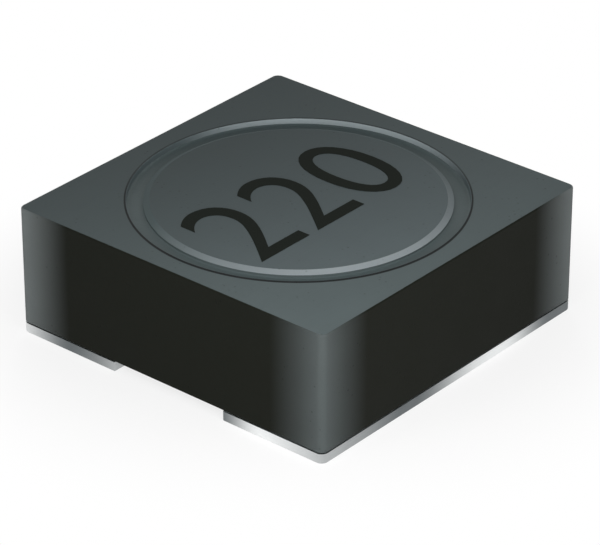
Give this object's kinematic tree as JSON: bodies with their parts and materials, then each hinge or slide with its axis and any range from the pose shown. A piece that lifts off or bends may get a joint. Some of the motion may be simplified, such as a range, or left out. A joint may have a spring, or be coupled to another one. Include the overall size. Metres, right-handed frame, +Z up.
{
  "type": "shielded surface-mount power inductor",
  "caption": "Square ferrite-shielded surface-mount power inductor: round drum core and copper winding inside a shield ring, on flat tinned solder terminals.",
  "frame": {"origin": "centre of the underside, on the plane of the two solder faces", "axes": "+Z up from the circuit board through the marked top face; the two terminals lie at the -X and +X sides and run along Y"},
  "size_m": [0.0126, 0.0126, 0.0045],
  "materials": {
    "ferrite_shield": "ground sintered ferrite, dark slate grey, satin",
    "ferrite_drum": "ground sintered ferrite, dark slate grey, satin",
    "enamelled_copper": "copper wire under clear amber enamel, gloss",
    "gap_resin": "cured grey epoxy, satin",
    "tinned_terminal": "matt tin plate on copper",
    "solder": "smooth reflowed solder",
    "adhesive_film": "cured adhesive film"
  },
  "bodies": {
    "root": {"shield_ring": "ferrite_shield", "drum_core": "ferrite_drum", "winding": "enamelled_copper", "upper_gap_resin": "gap_resin", "lower_gap_resin_front": "gap_resin", "lower_gap_resin_back": "gap_resin", "terminal_start": "tinned_terminal", "terminal_finish": "tinned_terminal", "solder_joint_start": "solder", "solder_joint_finish": "solder", "terminal_film_start_front": "adhesive_film", "terminal_film_start_back": "adhesive_film", "terminal_film_finish_front": "adhesive_film", "terminal_film_finish_back": "adhesive_film"}
  },
  "joints": []
}
